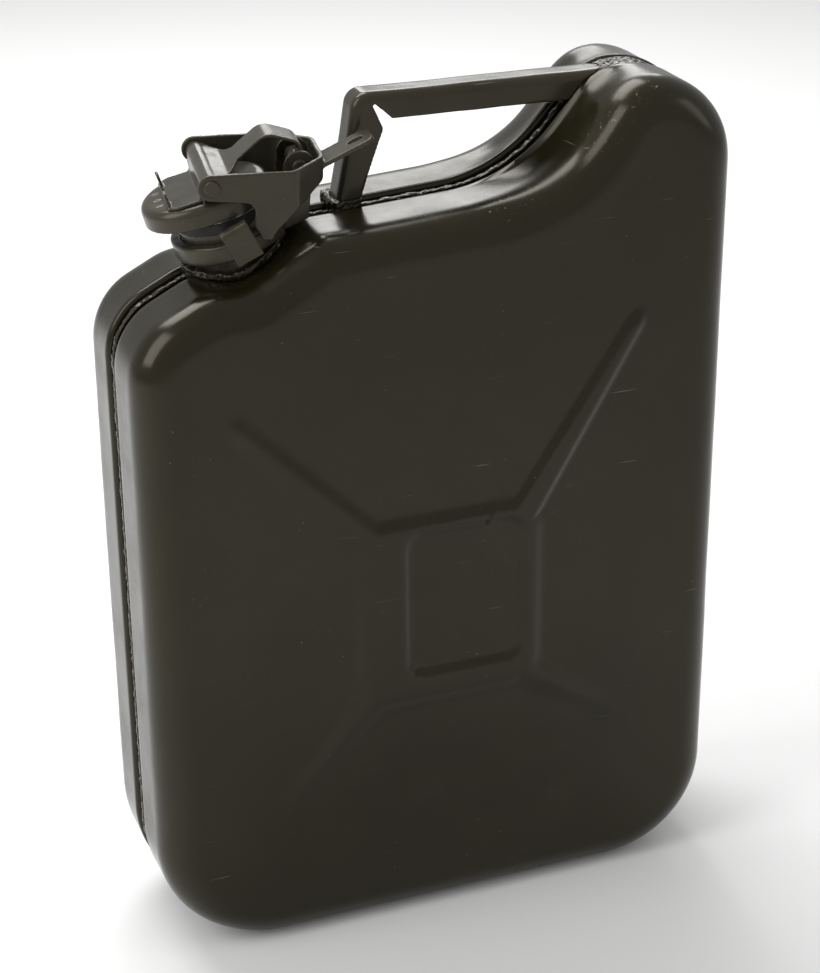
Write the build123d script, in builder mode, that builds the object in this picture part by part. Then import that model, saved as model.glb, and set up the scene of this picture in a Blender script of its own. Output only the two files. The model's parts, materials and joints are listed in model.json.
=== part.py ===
"""Pressed-steel fuel can with a lever-closed cap, modelled in millimetres.

The origin is at the middle of the base. X runs along the broad faces, with the
neck at the -X end and the hump at the +X end, Y runs through the thickness and
Z is up. The tank is two pressed halves that meet at Y = 0 in a recessed seam.
"""
import os
from math import atan2, cos, degrees, radians, sin

from build123d import *

os.makedirs("parts", exist_ok=True)

# ---------------------------------------------------------------- tank sizes
tank_length = 345.0  # X, over the two ends
tank_height = 490.0  # Z, to the top of the hump
tank_depth = 110.0  # Y, over the two broad faces
half_length = tank_length / 2
half_depth = tank_depth / 2
sheet = 1.2  # steel sheet of the two halves
face_radius = 20.0  # rounding round each broad face
seam_half_width = 7.0  # half the width of the seam groove
seam_depth = 7.0  # groove floor below the outline
rim_radius = 3.0  # rounding where a side turns into the groove
flange_height = 4.2  # welded flange that stands in the groove
flange_half_thickness = 1.1
bead_height = 1.5  # weld bead on the flange
bead_half_width = 1.7
weld_rise = 4.0  # how high fillet welds stand on the tank

# outline of the broad faces
base_radius_neck_end = 70.0
base_radius_hump_end = 63.0
shoulder_drop = 111.0  # neck-end shoulder below the hump's top
shoulder_radius = 40.0
shelf_drop = 88.5  # shelf beside the neck, below the hump's top
shelf_start = 44.5  # from the neck end
shelf_end = 65.5
shelf_radius_up = 36.0
step_radius = 24.0
step_start_drop = 65.0  # saddle's front edge, below the hump's top
step_start = 105.5  # from the neck end
saddle_drop = 57.5  # saddle's lowest straight, below the hump's top
saddle_end = 118.0  # from the hump end
saddle_radius = 88.0
hump_shoulder = 67.5  # from the hump end
hump_shoulder_radius = 36.0
hump_radius = 50.0

# pressed panel in each broad face: a square frame with four arms
press_height = 2.6
press_draft = 55.0
panel_x = 8.0  # panel centre
panel_z = 205.0
panel_width = 84.0  # to the middle of the frame's bars
panel_height = 94.0
panel_radius = 14.0
bar_width = 15.0
arm_width = 20.0
arm_tip_width = 13.0
press_lap = 0.2  # how far the raised frame starts inside the sheet
arm_root = 2.0  # arms start this far inside the frame's middle line
inner_corner = 10.0  # rounding of the frame's inner edge
arm_reach = [  # tips of the arms, from the tank's ends and top
    (-half_length + 54.5, tank_height - 160.0),
    (half_length - 59.5, tank_height - 125.0),
    (-half_length + 80.5, 100.0),
    (half_length - 60.5, 108.0),
]

# ------------------------------------------------------------------- closure
neck_from_end = 74.2  # neck centre from the neck end
neck_base_drop = 89.0  # neck reference below the hump's top
neck_tilt = 15.0  # neck leans towards the -X end
closure_turn = 9.0  # the closure is turned on the neck, so its lever clears the handle
neck_radius = 25.5
neck_wall = 1.5
neck_bore_radius = neck_radius - neck_wall
neck_below = 16.0  # tube below its reference plane, inside the tank
neck_above = 30.0
collar_wall = 5.5
collar_radius = neck_radius + collar_wall
collar_height = 10.5
collar_high = neck_above - 5.0
collar_low = collar_high - collar_height
collar_rounding = 1.5
neck_weld_leg = 4.5
hook_middle = 5.5  # hook's middle from the neck's axis, towards the handle
hook_lean = 12.5
hook_width = 15.0
hook_in = collar_radius + 0.5  # inner leg's outer face
hook_out = hook_in + 6.7
hook_top = 21.5  # above the collar's lower edge
hook_low = 1.0
hook_bend = 3.2
hook_sheet = 2.0
seat_gap = 0.3  # clear gap between faces of different bodies

cap_skirt_gap = 7.0  # skirt's lower edge above the mouth
cap_height = 11.6
cap_low = neck_above + cap_skirt_gap
cap_high = cap_low + cap_height
cap_radius = neck_radius + 2.9
cap_nose = 12.5  # how far the nose stands out past a round cap
cap_sheet = 1.4
cap_rounding = 5.0

hinge_out = collar_radius + 14.0  # hinge pin from the neck's axis
hinge_high = cap_high - 2.1  # hinge pin below the cap's top
hinge_pin_radius = 2.6
running_clearance = 0.06  # radial play of a pin in the eye that turns on it
ear_radius = 8.5
ear_gap = 11.0  # half the distance between the ears
ear_sheet = 2.0
bracket_web = 2.6  # web that lies against the collar
bracket_lap = 4.0  # how far the ears' blank reaches over the collar
bracket_foot = 1.0  # ears' foot inside the collar's edges
bracket_heel = 3.0  # lower outer corner, in from the pin and up from the collar's edge
bracket_corner = 2.0
head_height = 1.6  # rivet heads
head_edge = 1.6  # how far a rivet head stands out past its shank
head_draft = 25.0

lever_pin_out = 3.0  # lever pin from the neck's axis, towards the nose
lever_pin_high = cap_high + 9.1
lever_pin_radius = 3.0
lever_gap = cap_radius + 2.0  # half the distance between the lever's side plates
lever_sheet = 2.4
lever_lean = 16.0  # lever slopes down towards its tip, in the neck's frame
boss_radius = 7.0
lever_end = hinge_out + lever_pin_out + 11.2  # inner face of the cross web, from the pin
lever_bend = lever_end - 16.2  # where the side plates start to close in
toe_outline = [(34.0, -25.0), (31.5, -29.6), (26.5, -29.6), (22.0, -21.5), (23.5, -9.5)]
toe_rounding = [5.0, 2.0, 2.0, 6.0, 6.0]  # corners of the hooked toe
side_drop = 15.0  # side plates' lower corner at the bend, below the pin
side_corners = [12.0, 1.0, 3.0, 8.0]
side_end_corner = 0.5  # where the plates' edges run into the boss
web_low = 2.0  # web's lower edge below the pin
web_rise = 2.0  # web's upper edge above the boss
web_half_width = 15.0
plan_radius = 6.0
tab_rise = 26.0  # the tab rises this steeply above the side plates
tab_length = 31.0
tab_near = -15.0  # the tab stands to one side, so it passes in front of the handle
tab_far = 3.5
tab_corner = 5.0
tab_foot = 3.6  # tab's upper face at the web, above the pin
slot_along = 21.5
slot_length = 8.5
slot_width = 4.2

carrier_radius = cap_radius - 2.8  # pressed pan inside the cap
gasket_height = 5.0
gasket_outer = cap_radius - 2.1
gasket_inner = neck_bore_radius - 7.0
retainer_radius = neck_bore_radius - 1.6
rivet_radius = 3.0
rivet_head_radius = 5.0
strap_sheet = 1.6
strap_half_width = cap_radius - 4.9  # plate on the cap
strap_neck_half_width = ear_gap - 1.2  # where it runs between the ears
roll_half_width = lever_gap - 0.6
eye_wall = 2.0
plate_front = 27.0
valley_out = 9.0
valley_high = cap_high + 7.9
arch_start = 15.0
arch_out = hinge_out - 12.0
arch_high = cap_high + 19.4
arch_back = 10.0  # how far the arch's rear end is below its crest
strap_bends = [8.0, 9.0, 7.0]  # at the valley, the crest and the rear
plate_step = 2.0  # plate's lip past its middle line, and past the roll
plate_bend = 3.0
plate_corner = (7.0, 4.0)  # cut off each front corner of the plate
horn_middle = 15.5  # upturned horns at the plate's front corners, from its middle
horn_width = 7.5
horn_height = 9.0
horn_rounding = 2.5

# -------------------------------------------------------------------- handle
handle_width = 20.0
handle_height = 15.0
handle_sheet = 1.6
handle_rounding = 4.5
handle_top_drop = 2.5  # top of the bar below the hump's top
handle_front = neck_from_end + hinge_out + 9.8  # front leg's outer face, from the neck end
handle_lean = 11.0  # how far the leg leans towards the hump over its height
leg_foot_depth = 10.5  # channel depth at the foot
handle_offset = 5.0  # front leg stands off the middle, clear of the lever
handle_rear = 57.0  # end of the bar from the hump end
handle_bend = 9.0
handle_tip = 12.0  # length of the pointed rear end
leg_top_depth = 19.5
notch_mouth = 5.0
notch_rise = 11.5
notch_place = 4.0  # notch's tip past the bar's rounding
leg_taper = 3.5  # how much the leg narrows towards its foot
tip_margin = 1.0  # point's cut past the bar's side faces
foot_low = tank_height - 72.0  # inside the tank's outline, before it is trimmed
leg_height = 61.0  # from the saddle to the top of the bar
handle_weld_leg = 3.0
rear_weld_start = half_length - 74.5
rear_weld_end = half_length - 32.5
rear_weld_drop = 0.8  # weld's top below the outline

# ------------------------------------------------------------- breather tube
breather_radius = 4.0
breather_bore = 2.8
breather_drop = 10.0  # where it leaves the neck tube, below the reference plane
breather_lap = 2.0  # how far it starts inside the neck tube's bore
breather_run = tank_height - 78.0  # level stretch under the saddle
breather_start = -half_length + 127.5
breather_rise = half_length - 112.5
breather_end = (half_length - 67.5, tank_height - 25.0)
breather_bend = 12.0
clip_place = 18.0
clip_wall = 1.4
clip_width = 9.0

flange_top = seam_depth - flange_height  # flange's edge below the outline


def save(piece, name):
    """Label a finished piece and write its STEP file."""
    piece.part.label = name
    export_step(piece.part, f"parts/{name}.step")


# ------------------------------------------------------------------- outline
def outline_wire():
    """Outline of the broad faces in XZ, a chain of straights and round corners."""
    top = tank_height
    corners = [
        ((-half_length, 0), base_radius_neck_end),
        ((half_length, 0), base_radius_hump_end),
        ((half_length, top), hump_radius),
        ((half_length - hump_shoulder, top), hump_shoulder_radius),
        ((half_length - saddle_end, top - saddle_drop), saddle_radius),
        ((-half_length + step_start, top - step_start_drop), step_radius),
        ((-half_length + shelf_end, top - shelf_drop), step_radius),
        ((-half_length + shelf_start, top - shelf_drop), shelf_radius_up),
        ((-half_length, top - shoulder_drop), shoulder_radius),
    ]
    points = [corner for corner, _ in corners]
    radii = [radius for _, radius in corners]
    return FilletPolyline(*points, radius=radii, close=True)


def outline_face(inset=0.0):
    """The outline as a sketch, moved inwards by inset."""
    with BuildSketch() as shape:
        with BuildLine():
            outline_wire()
        make_face()
        if inset:
            offset(amount=-inset, kind=Kind.ARC)
    return shape.sketch


def across(low, high, inset=0.0):
    """A slab with the outline's shape between two distances from the seam."""
    start = Plane(origin=(0, -low, 0), x_dir=(1, 0, 0), z_dir=(0, -1, 0))
    with BuildPart() as slab:
        with BuildSketch(start):
            add(outline_face(inset))
        extrude(amount=high - low)
    return slab


def rounded_slab(low, high, inset, outer_radius, inner_radius=0.0):
    """A slab whose far edge, and near edge if asked, are rounded."""
    slab = across(low, high, inset)
    with slab:
        far_edges = slab.faces().sort_by(Axis.Y)[0].edges()
        fillet(far_edges, outer_radius)
        if inner_radius:
            near_edges = slab.faces().sort_by(Axis.Y)[-1].edges()
            fillet(near_edges, inner_radius)
    return slab


def press(depth, grow=0.0):
    """The raised frame and arms of a pressed panel, standing on the plane Y = -depth."""
    face = Plane(origin=(0, -depth, 0), x_dir=(1, 0, 0), z_dir=(0, -1, 0))
    narrow = 2 * grow
    with BuildPart() as raised:
        with BuildSketch(face):
            with Locations((panel_x, panel_z)):
                RectangleRounded(
                    panel_width + bar_width - narrow,
                    panel_height + bar_width - narrow,
                    panel_radius,
                )
                RectangleRounded(
                    panel_width - bar_width + narrow,
                    panel_height - bar_width + narrow,
                    inner_corner,
                    mode=Mode.SUBTRACT,
                )
        extrude(amount=press_height, taper=press_draft)
        for tip_x, tip_z in arm_reach:
            side_x = 1 if tip_x > panel_x else -1
            side_z = 1 if tip_z > panel_z else -1
            root_x = panel_x + side_x * (panel_width / 2 - arm_root)
            root_z = panel_z + side_z * (panel_height / 2 - arm_root)
            run = degrees(atan2(tip_z - root_z, tip_x - root_x))
            length = ((tip_x - root_x) ** 2 + (tip_z - root_z) ** 2) ** 0.5
            arm_plane = Plane(
                origin=(root_x, -depth, root_z),
                x_dir=(cos(radians(run)), 0, sin(radians(run))),
                z_dir=(0, -1, 0),
            )
            with BuildSketch(arm_plane):
                with BuildLine():
                    root = arm_width / 2 - grow
                    tip = arm_tip_width / 2 - grow
                    Line((0, -root), (length, -tip))
                    ThreePointArc((length, -tip), (length + tip, 0), (length, tip))
                    Line((length, tip), (0, root))
                    Line((0, root), (0, -root))
                make_face()
            extrude(amount=press_height, taper=press_draft)
    return raised


# --------------------------------------------------------------- neck's frame
neck_base = Vector(-half_length + neck_from_end, 0, tank_height - neck_base_drop)
neck_axis = Vector(-sin(radians(neck_tilt)), 0, cos(radians(neck_tilt)))
neck_level = Vector(cos(radians(neck_tilt)), 0, sin(radians(neck_tilt)))
lever_run = neck_level * cos(radians(closure_turn)) - Vector(0, 1, 0) * sin(radians(closure_turn))
neck_frame = Plane(origin=neck_base, x_dir=lever_run, z_dir=neck_axis)


def point_in(frame, x, y, z):
    """A point given in a frame, in the can's own coordinates."""
    return frame.from_local_coords(Vector(x, y, z))


def side_plane(frame, x=0.0, z=0.0, lean=0.0):
    """A sketch plane across the frame's y, with its own x leaning down by lean degrees."""
    run = frame.x_dir * cos(radians(lean)) - frame.z_dir * sin(radians(lean))
    return Plane(origin=point_in(frame, x, 0, z), x_dir=run, z_dir=-frame.y_dir)


def level_plane(frame, z):
    """A sketch plane square to the frame's z at height z."""
    return Plane(origin=point_in(frame, 0, 0, z), x_dir=frame.x_dir, z_dir=frame.z_dir)


def neck_disc(radius, low, high):
    """A round solid on the neck's axis between two heights."""
    with BuildPart() as disc:
        with BuildSketch(level_plane(neck_frame, low)):
            Circle(radius)
        extrude(amount=high - low)
    return disc


skin_layer = across(-half_depth, half_depth, -weld_rise)
neck_space = neck_disc(neck_radius, -2 * neck_below, neck_above)

# ---------------------------------------------------------------- tank halves
hollow_low = seam_half_width + sheet
hollow_high = half_depth - sheet
with BuildPart() as front_block:
    add(rounded_slab(seam_half_width, half_depth, 0, face_radius, rim_radius).part)
    add(across(0, seam_half_width, seam_depth).part)
    add(across(0, flange_half_thickness, flange_top).part)

with BuildPart() as rear_block:
    mirror(front_block.part, about=Plane.XZ)

with BuildPart() as front_shell:
    add(front_block.part)
    add(press(half_depth - press_lap).part)
    add(rounded_slab(hollow_low, hollow_high, sheet, face_radius - sheet).part, mode=Mode.SUBTRACT)
    add(across(0, hollow_low, seam_depth + sheet).part, mode=Mode.SUBTRACT)
    add(press(hollow_high - press_lap, sheet / 2).part, mode=Mode.SUBTRACT)
    add(neck_space.part, mode=Mode.SUBTRACT)
save(front_shell, "front_shell")

with BuildPart() as rear_shell:
    mirror(front_shell.part, about=Plane.XZ)
save(rear_shell, "rear_shell")

# weld bead that closes the two flanges, all round the groove
with BuildPart() as seam_weld:
    add(across(-bead_half_width, bead_half_width, flange_top - bead_height).part)
    add(across(-bead_half_width, bead_half_width, flange_top).part, mode=Mode.SUBTRACT)
    add(neck_space.part, mode=Mode.SUBTRACT)
save(seam_weld, "seam_weld")

# -------------------------------------------------------------- neck and mouth
breather_exit = neck_base + neck_level * (neck_bore_radius - breather_lap) - neck_axis * breather_drop
breather_level = Vector(breather_start, 0, breather_run)
breather_hole = Plane(origin=breather_exit, z_dir=breather_level - breather_exit)

with BuildPart() as neck_tube:
    add(neck_disc(neck_radius, -neck_below, neck_above).part)
    add(neck_disc(neck_bore_radius, -neck_below, neck_above).part, mode=Mode.SUBTRACT)
    with BuildSketch(breather_hole):
        Circle(breather_radius)
    extrude(amount=neck_bore_radius / 2, both=True, mode=Mode.SUBTRACT)
save(neck_tube, "neck_tube")

# fillet weld where the tube meets the halves
with BuildPart() as neck_weld:
    add(neck_disc(neck_radius + neck_weld_leg, -neck_below, collar_low).part)
    add(skin_layer.part, mode=Mode.INTERSECT)
    add(front_block.part, mode=Mode.SUBTRACT)
    add(rear_block.part, mode=Mode.SUBTRACT)
    add(seam_weld.part, mode=Mode.SUBTRACT)
    add(neck_disc(neck_radius, -neck_below, collar_low).part, mode=Mode.SUBTRACT)
save(neck_weld, "neck_weld")

# air pipe from the neck, under the saddle, up into the hump
with BuildPart() as breather_tube:
    with BuildLine() as breather_path:
        FilletPolyline(
            (breather_exit.X, 0, breather_exit.Z),
            (breather_start, 0, breather_run),
            (breather_rise, 0, breather_run),
            (breather_end[0], 0, breather_end[1]),
            radius=breather_bend,
        )
    breather_mouth = Plane(origin=breather_path.line @ 0, z_dir=breather_path.line % 0)
    with BuildSketch(breather_mouth):
        Circle(breather_radius)
        Circle(breather_bore, mode=Mode.SUBTRACT)
    sweep()
    add(neck_disc(neck_bore_radius, -neck_below, neck_above).part, mode=Mode.SUBTRACT)
save(breather_tube, "breather_tube")

with BuildPart() as breather_clip:
    clip_plane = Plane(origin=(clip_place, 0, breather_run), x_dir=(0, 1, 0), z_dir=(1, 0, 0))
    with BuildSketch(clip_plane):
        Circle(breather_radius + clip_wall)
        Rectangle(clip_wall * 2, saddle_drop, align=(Align.CENTER, Align.MIN))
        Circle(breather_radius, mode=Mode.SUBTRACT)
    extrude(amount=clip_width / 2, both=True)
    add(across(-half_depth, half_depth, seam_depth + sheet).part, mode=Mode.INTERSECT)
save(breather_clip, "breather_clip")

with BuildPart() as mouth_collar:
    add(neck_disc(collar_radius, collar_low, collar_high).part)
    collar_rims = mouth_collar.edges().filter_by(GeomType.CIRCLE)
    fillet(collar_rims, collar_rounding)
    add(neck_disc(neck_radius, collar_low, collar_high).part, mode=Mode.SUBTRACT)
save(mouth_collar, "mouth_collar")


def latch_hook(side):
    """A strip that rises from the collar, curls outwards and hangs beside it."""
    lean_frame = Plane(
        origin=point_in(neck_frame, hook_middle, 0, collar_low),
        x_dir=neck_frame.x_dir * cos(radians(hook_lean)) + neck_frame.z_dir * sin(radians(hook_lean)),
        z_dir=neck_frame.z_dir * cos(radians(hook_lean)) - neck_frame.x_dir * sin(radians(hook_lean)),
    )
    section = Plane(origin=lean_frame.origin, x_dir=lean_frame.y_dir * side, z_dir=lean_frame.x_dir * side)
    with BuildPart() as hook:
        with BuildSketch(section):
            with BuildLine():
                FilletPolyline(
                    (hook_in, 0),
                    (hook_in, hook_top),
                    (hook_out, hook_top),
                    (hook_out, hook_low),
                    radius=hook_bend,
                )
                offset(amount=-hook_sheet, side=Side.RIGHT, closed=True)
            make_face()
        extrude(amount=hook_width / 2, both=True)
        add(neck_disc(collar_radius, -neck_below, collar_high).part, mode=Mode.SUBTRACT)
    return hook


front_latch_hook = latch_hook(-1)
save(front_latch_hook, "front_latch_hook")
rear_latch_hook = latch_hook(1)
save(rear_latch_hook, "rear_latch_hook")

# ---------------------------------------------------------------- rear hinge
def pin_with_heads(x, z, radius, half_grip):
    """A riveted pin across the neck, with a head at each end."""
    frame = neck_frame
    with BuildPart() as pin:
        with BuildSketch(side_plane(frame, x, z)):
            Circle(radius)
        extrude(amount=half_grip, both=True)
        for side in (-1, 1):
            head_origin = frame.from_local_coords(Vector(x, side * half_grip, z))
            head_plane = Plane(origin=head_origin, x_dir=frame.x_dir, z_dir=frame.y_dir * side)
            with BuildSketch(head_plane):
                Circle(radius + head_edge)
            extrude(amount=head_height, taper=head_draft)
    return pin


with BuildPart() as hinge_bracket:
    with BuildSketch(side_plane(neck_frame)):
        with BuildLine():
            FilletPolyline(
                (collar_radius - bracket_lap, collar_low + bracket_foot),
                (hinge_out - bracket_heel, collar_low + bracket_heel),
                (hinge_out + ear_radius / 2, hinge_high - ear_radius),
                (hinge_out + ear_radius / 2, hinge_high),
                (hinge_out - ear_radius, hinge_high),
                (collar_radius - bracket_lap, collar_high - bracket_foot),
                radius=bracket_corner,
                close=True,
            )
        make_face()
        with Locations((hinge_out, hinge_high)):
            Circle(ear_radius)
    extrude(amount=ear_gap + ear_sheet, both=True)
    with BuildSketch(level_plane(neck_frame, collar_low)):
        with Locations((collar_radius + bracket_web, 0)):
            Rectangle(2 * hinge_out, 2 * ear_gap, align=(Align.MIN, Align.CENTER))
    extrude(amount=hinge_high, mode=Mode.SUBTRACT)
    with BuildSketch(side_plane(neck_frame)):
        with Locations((hinge_out, hinge_high)):
            Circle(hinge_pin_radius)
    extrude(amount=ear_gap + 2 * ear_sheet, both=True, mode=Mode.SUBTRACT)
    add(neck_disc(collar_radius, 0, collar_high + bracket_foot).part, mode=Mode.SUBTRACT)
save(hinge_bracket, "hinge_bracket")

hinge_pin = pin_with_heads(hinge_out, hinge_high, hinge_pin_radius, ear_gap + ear_sheet)
save(hinge_pin, "hinge_pin")

# ------------------------------------------------------------------ the cap
def cap_plan(radius):
    """Round cap with a nose, seen along the neck."""
    with BuildSketch() as plan:
        with Locations((-cap_nose / 2, 0)):
            SlotOverall(cap_nose + 2 * radius, 2 * radius)
    return plan.sketch


with BuildPart() as cap_cup:
    with BuildSketch(level_plane(neck_frame, cap_low)):
        add(cap_plan(cap_radius))
    extrude(amount=cap_high - cap_low)
    top_edges = cap_cup.faces().sort_by(Axis(neck_base, neck_axis))[-1].edges()
    fillet(top_edges, cap_rounding)
    with BuildSketch(level_plane(neck_frame, cap_low)):
        add(cap_plan(cap_radius - cap_sheet))
    extrude(amount=cap_high - cap_low - cap_sheet - cap_rounding / 2, mode=Mode.SUBTRACT)
    with BuildSketch(level_plane(neck_frame, cap_low)):
        add(cap_plan(cap_radius - cap_rounding))
    extrude(amount=cap_high - cap_low - cap_sheet, mode=Mode.SUBTRACT)
save(cap_cup, "cap_cup")

gasket_low = neck_above + seat_gap
gasket_high = gasket_low + gasket_height
washer_top = gasket_low + cap_sheet
carrier_top = cap_high - cap_sheet - cap_rounding / 2

# pressed pan inside the cap that carries the rubber ring
with BuildPart() as gasket_carrier:
    add(neck_disc(carrier_radius, gasket_high, carrier_top).part)
    add(neck_disc(carrier_radius - cap_sheet, gasket_high + cap_sheet, carrier_top).part, mode=Mode.SUBTRACT)
    add(neck_disc(rivet_radius, gasket_high, gasket_high + cap_sheet).part, mode=Mode.SUBTRACT)
save(gasket_carrier, "gasket_carrier")

with BuildPart() as cap_gasket:
    add(neck_disc(gasket_outer, gasket_low, gasket_high).part)
    add(neck_disc(gasket_inner, gasket_low, gasket_high).part, mode=Mode.SUBTRACT)
    add(neck_disc(retainer_radius + seat_gap, gasket_low, washer_top).part, mode=Mode.SUBTRACT)
save(cap_gasket, "cap_gasket")

# dished washer let into the rubber ring's lower face, and its rivet
with BuildPart() as gasket_retainer:
    hub_radius = gasket_inner - seat_gap
    add(neck_disc(retainer_radius, gasket_low, washer_top).part)
    add(neck_disc(hub_radius, gasket_low, gasket_high).part)
    add(neck_disc(hub_radius - cap_sheet, gasket_low, gasket_high - cap_sheet).part, mode=Mode.SUBTRACT)
    add(neck_disc(rivet_radius, gasket_low, gasket_high).part, mode=Mode.SUBTRACT)
save(gasket_retainer, "gasket_retainer")

with BuildPart() as retainer_rivet:
    rivet_low = gasket_high - cap_sheet
    rivet_high = gasket_high + cap_sheet
    add(neck_disc(rivet_radius, rivet_low, rivet_high).part)
    add(neck_disc(rivet_head_radius, rivet_low - head_height, rivet_low).part)
    add(neck_disc(rivet_head_radius, rivet_high, rivet_high + head_height).part)
save(retainer_rivet, "retainer_rivet")

# spring strap: a wide plate welded on the cap, rolled round the lever's pin, then arched
# back between the ears to its second eye on the hinge pin
lever_eye = lever_pin_radius + running_clearance
hinge_eye = hinge_pin_radius + running_clearance
plate_low = cap_high
plate_mid = plate_low + strap_sheet / 2
roll_mid = lever_eye + eye_wall / 2
hinge_mid = hinge_eye + eye_wall / 2

with BuildPart() as cap_strap:
    with BuildSketch(side_plane(neck_frame)):
        with BuildLine():
            FilletPolyline(
                (-lever_pin_out, lever_pin_high + roll_mid),
                (valley_out, valley_high),
                (arch_out, arch_high),
                (hinge_out + hinge_mid, arch_high - arch_back),
                (hinge_out + hinge_mid, hinge_high),
                radius=strap_bends,
            )
            offset(amount=strap_sheet / 2, side=Side.BOTH, closed=True)
        make_face()
        with BuildLine():
            FilletPolyline(
                (-plate_front, plate_mid),
                (-lever_pin_out - roll_mid - plate_step, plate_mid),
                (-lever_pin_out - roll_mid, lever_pin_high),
                radius=plate_bend,
            )
            offset(amount=strap_sheet / 2, side=Side.BOTH, closed=True)
        make_face()
        with Locations((-lever_pin_out, lever_pin_high)):
            Circle(lever_eye + eye_wall)
        with Locations((hinge_out, hinge_high)):
            Circle(hinge_eye + eye_wall)
        with Locations((-lever_pin_out, lever_pin_high)):
            Circle(lever_eye, mode=Mode.SUBTRACT)
        with Locations((hinge_out, hinge_high)):
            Circle(hinge_eye, mode=Mode.SUBTRACT)
    extrude(amount=roll_half_width, both=True)
    with BuildSketch(level_plane(neck_frame, cap_low)):
        with BuildLine():
            Polyline(
                (-plate_front - plate_step, -strap_half_width + plate_corner[1]),
                (-plate_front - plate_step + plate_corner[0], -strap_half_width),
                (-lever_pin_out - roll_mid - plate_step, -strap_half_width),
                (-lever_pin_out - roll_mid - plate_step, -roll_half_width),
                (-lever_pin_out + roll_mid + plate_step / 2, -roll_half_width),
                (arch_start, -strap_neck_half_width),
                (hinge_out + 2 * ear_radius, -strap_neck_half_width),
                (hinge_out + 2 * ear_radius, 0),
                (-plate_front - plate_step, 0),
                close=True,
            )
        make_face()
        mirror(about=Plane.XZ)
    extrude(amount=2 * cap_high, mode=Mode.INTERSECT)
    front_edge = Plane(
        origin=point_in(neck_frame, -plate_front, 0, plate_low),
        x_dir=neck_frame.y_dir,
        z_dir=neck_frame.x_dir,
    )
    with BuildSketch(front_edge):
        with Locations((-horn_middle, horn_height / 2), (horn_middle, horn_height / 2)):
            RectangleRounded(horn_width, horn_height, horn_rounding)
    extrude(amount=strap_sheet)
save(cap_strap, "cap_strap")

# ----------------------------------------------------------------- the lever
lever_pin = pin_with_heads(-lever_pin_out, lever_pin_high, lever_pin_radius, lever_gap + lever_sheet)
save(lever_pin, "lever_pin")

lean = radians(lever_lean)
lever_frame = Plane(
    origin=point_in(neck_frame, -lever_pin_out, 0, lever_pin_high),
    x_dir=neck_frame.x_dir * cos(lean) - neck_frame.z_dir * sin(lean),
    z_dir=neck_frame.z_dir * cos(lean) + neck_frame.x_dir * sin(lean),
)


def lever_plan(grow):
    """Space between the side plates, seen from above, made larger by grow."""
    with BuildSketch() as plan:
        with BuildLine():
            FilletPolyline(
                (-2 * lever_bend, -lever_gap),
                (lever_bend, -lever_gap),
                (lever_end, -web_half_width),
                (lever_end, web_half_width),
                (lever_bend, lever_gap),
                (-2 * lever_bend, lever_gap),
                radius=plan_radius,
                close=True,
            )
        make_face()
        if grow:
            offset(amount=grow, kind=Kind.ARC)
    return plan.sketch


with BuildPart() as lever:
    with BuildSketch(side_plane(lever_frame)):
        with BuildLine():
            FilletPolyline(
                (0, boss_radius),
                (lever_bend, boss_radius),
                (lever_end + 2 * lever_sheet, boss_radius + web_rise),
                (lever_end + 2 * lever_sheet, -web_low),
                (lever_bend + 1, -side_drop),
                *toe_outline,
                (0, -boss_radius),
                radius=[side_end_corner, *side_corners, *toe_rounding, side_end_corner],
                close=True,
            )
        make_face()
        Circle(boss_radius)
    extrude(amount=lever_gap + lever_sheet, both=True)
    with BuildSketch(level_plane(lever_frame, -lever_gap - lever_sheet)):
        add(lever_plan(lever_sheet))
        add(lever_plan(0), mode=Mode.SUBTRACT)
    extrude(amount=2 * (lever_gap + lever_sheet), mode=Mode.INTERSECT)
    with BuildSketch(side_plane(lever_frame)):
        Circle(lever_pin_radius)
    extrude(amount=2 * lever_gap, both=True, mode=Mode.SUBTRACT)
    rise = radians(tab_rise)
    tab_frame = Plane(
        origin=point_in(lever_frame, lever_end + lever_sheet / 2, 0, tab_foot),
        x_dir=lever_frame.x_dir * cos(rise) + lever_frame.z_dir * sin(rise),
        z_dir=lever_frame.z_dir * cos(rise) - lever_frame.x_dir * sin(rise),
    )
    with BuildSketch(tab_frame):
        with Locations((0, tab_near)):
            Rectangle(tab_length, tab_far - tab_near, align=(Align.MIN, Align.MIN))
        fillet(vertices().sort_by(tab_frame.location.x_axis)[-2:], tab_corner)
        with Locations((slot_along, (tab_near + tab_far) / 2)):
            SlotOverall(slot_length, slot_width, mode=Mode.SUBTRACT)
    extrude(amount=-lever_sheet)
save(lever, "lever")

# ---------------------------------------------------------------- the handle
handle_length = tank_length - handle_front - handle_rear
handle_top = tank_height - handle_top_drop
handle_turn = atan2(handle_offset, handle_length)
handle_plane = Plane(
    origin=(-half_length + handle_front, handle_offset, 0),
    x_dir=(cos(handle_turn), -sin(handle_turn), 0),
    z_dir=(-sin(handle_turn), -cos(handle_turn), 0),
)
foot_shift = (handle_top - leg_height - foot_low) * handle_lean / leg_height


def handle_run(inset):
    """Solid under the handle's outer skin, moved inwards by inset."""
    with BuildPart() as block:
        with BuildSketch(handle_plane):
            with BuildLine():
                FilletPolyline(
                    (inset - foot_shift, foot_low),
                    (handle_lean + inset, handle_top - inset),
                    (handle_length, handle_top - inset),
                    radius=handle_bend - inset,
                )
                Polyline(
                    (handle_length, handle_top - inset),
                    (handle_length, foot_low),
                    (inset - foot_shift, foot_low),
                )
            make_face()
        extrude(amount=handle_width / 2 - inset, both=True)
        long_edges = block.faces().sort_by(Axis.Z)[-1].edges().sort_by(SortBy.LENGTH)[-2:]
        fillet(long_edges, handle_rounding - inset)
    return block


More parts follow.
